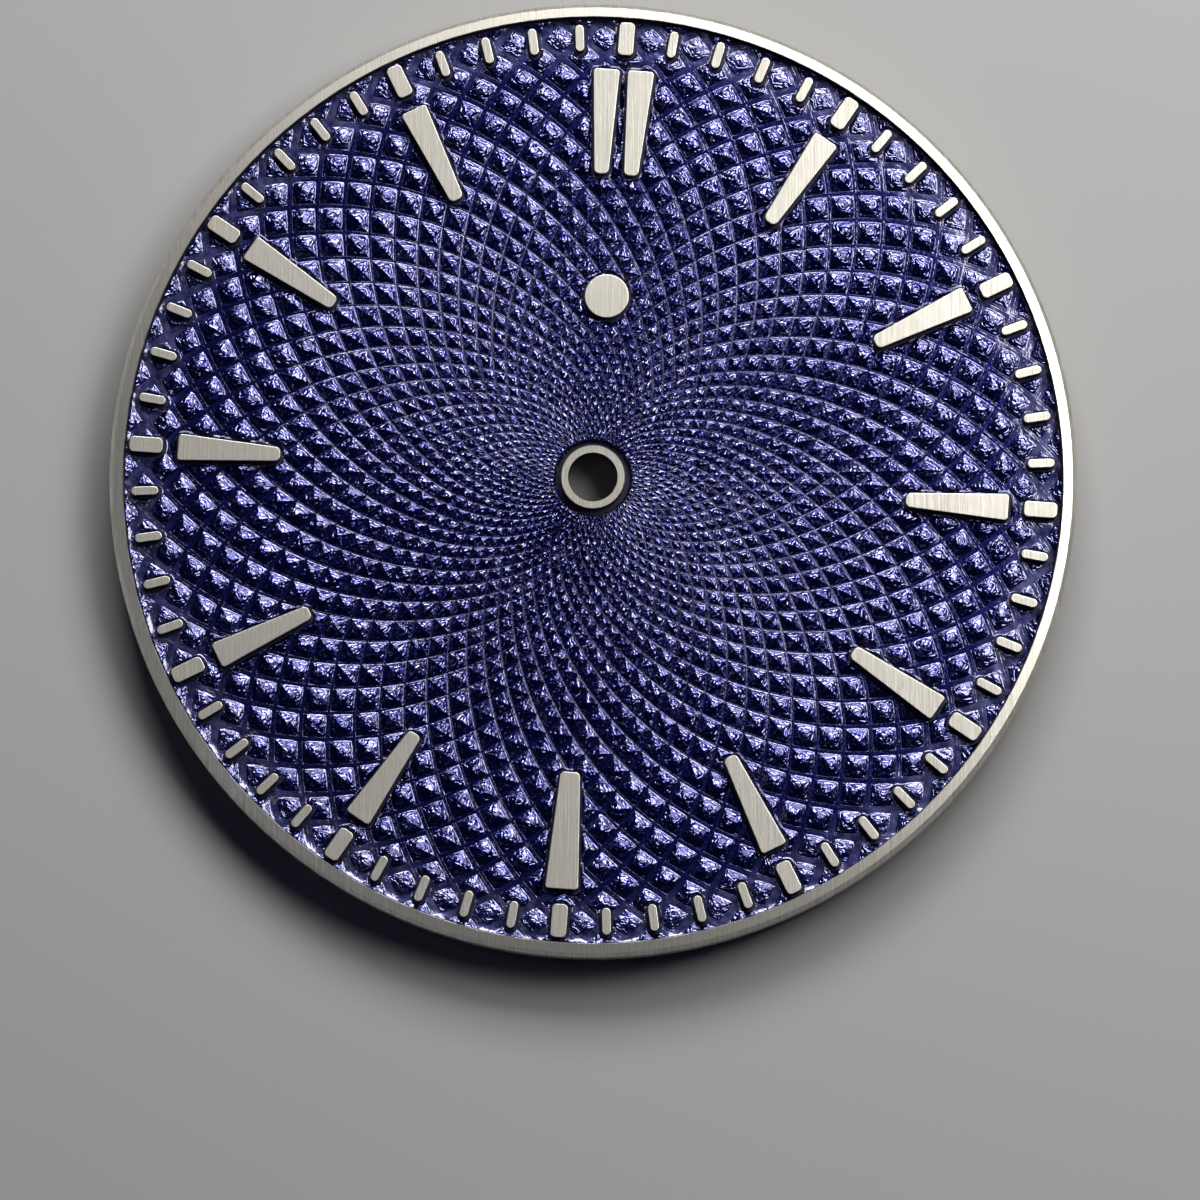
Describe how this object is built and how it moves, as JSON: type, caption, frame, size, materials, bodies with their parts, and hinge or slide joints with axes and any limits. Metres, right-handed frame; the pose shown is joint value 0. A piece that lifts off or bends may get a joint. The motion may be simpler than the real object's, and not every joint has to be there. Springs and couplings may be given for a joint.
{
  "type": "watch dial",
  "caption": "Round watch dial with a blue field cut in crossing spirals of small pyramids, brushed steel hour bars, a minute track, a raised rim, a centre bore and two feet on the back.",
  "frame": {"origin": "on the axis of the centre bore, in the plane of the plate's back", "axes": "+Z out of the dial's face, +Y towards 12, +X towards 3"},
  "size_m": [0.035, 0.035, 0.0021],
  "materials": {
    "brushed_plate": "finely brushed in one direction on the rim, with dark lacquer on the rim's inner wall",
    "blue_lacquer": "glossy violet-blue metallic lacquer over cut pyramids",
    "brushed_marks": "finely brushed in one direction",
    "copper_foot": "bare copper"
  },
  "bodies": {
    "root": {"dial_plate": "brushed_plate", "guilloche_field": "blue_lacquer", "hour_bar_01": "brushed_marks", "hour_bar_02": "brushed_marks", "hour_bar_03": "brushed_marks", "hour_bar_04": "brushed_marks", "hour_bar_05": "brushed_marks", "hour_bar_06": "brushed_marks", "hour_bar_07": "brushed_marks", "hour_bar_08": "brushed_marks", "hour_bar_09": "brushed_marks", "hour_bar_10": "brushed_marks", "hour_bar_11": "brushed_marks", "hour_bar_12_left": "brushed_marks", "hour_bar_12_right": "brushed_marks", "minute_block_05": "brushed_marks", "minute_block_10": "brushed_marks", "minute_block_15": "brushed_marks", "minute_block_20": "brushed_marks", "minute_block_25": "brushed_marks", "minute_block_30": "brushed_marks", "minute_block_35": "brushed_marks", "minute_block_40": "brushed_marks", "minute_block_45": "brushed_marks", "minute_block_50": "brushed_marks", "minute_block_55": "brushed_marks", "minute_block_60": "brushed_marks", "minute_batons": "brushed_marks", "emblem_disc": "brushed_marks", "dial_foot_a": "copper_foot", "dial_foot_b": "copper_foot"}
  },
  "joints": []
}
